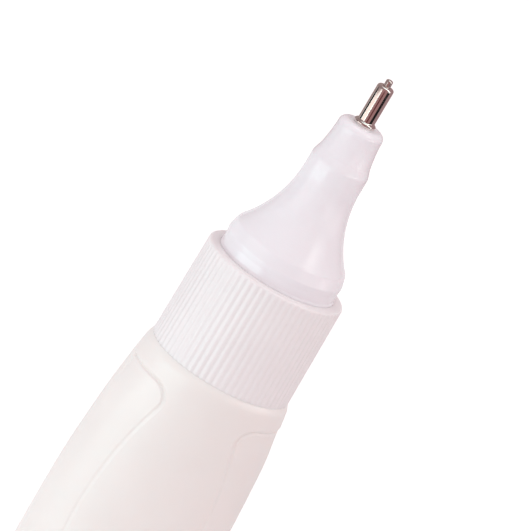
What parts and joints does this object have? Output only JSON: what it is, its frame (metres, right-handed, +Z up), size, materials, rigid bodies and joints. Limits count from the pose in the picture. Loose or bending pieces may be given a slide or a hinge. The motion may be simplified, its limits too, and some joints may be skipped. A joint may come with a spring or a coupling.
{
  "type": "correction pen",
  "caption": "Squeeze-bottle correction pen with side grips, a ribbed screw collar, a trumpet nozzle and a sprung needle valve in a metal tip.",
  "frame": {"origin": "centre of the bottle's foot ring, on the surface that the pen stands on", "axes": "+Z up the pen to the needle's tip, X across the wide side of the bottle, front face towards -Y"},
  "size_m": [0.0218, 0.018, 0.1156],
  "materials": {
    "bottle_plastic": "milky satin, slightly translucent",
    "collar_plastic": "satin",
    "nozzle_plastic": "glossy",
    "gasket_rubber": "matte",
    "sleeve_nickel": "nickel plated, polished",
    "needle_steel": "ground and polished",
    "spring_steel": "drawn wire",
    "plug_plastic": "satin",
    "ball_steel": "polished"
  },
  "bodies": {
    "bottle": {"bottle": "bottle_plastic"},
    "head": {"nozzle": "nozzle_plastic", "neck_gasket": "gasket_rubber", "tip_sleeve": "sleeve_nickel", "spring_plug": "plug_plastic", "needle_spring": "spring_steel"},
    "needle": {"valve_needle": "needle_steel"},
    "collar": {"screw_collar": "collar_plastic"},
    "ball": {"mixing_ball": "ball_steel"}
  },
  "joints": [
    {"name": "collar_turn", "type": "hinge", "parent": "head", "child": "collar", "pos_m": [0, 0, 0.083], "axis": [0, 0, 1], "range_deg": [0, 900]},
    {"name": "head_lift", "type": "slide", "parent": "bottle", "child": "head", "axis": [0, 0, 1], "range_m": [0, 0.006]},
    {"name": "needle_press", "type": "slide", "parent": "head", "child": "needle", "axis": [0, 0, -1], "range_m": [0, 0.0006], "stiffness_N_per_m": 200, "springref_m": -0.001, "deforming": ["needle_spring"]},
    {"name": "ball_rattle", "type": "slide", "parent": "bottle", "child": "ball", "axis": [0, 0, 1], "range_m": [0, 0.0855]}
  ],
  "couplings": [
    {"joint": "collar_turn", "follows": "head_lift", "rad_per_m": 2617.9}
  ]
}
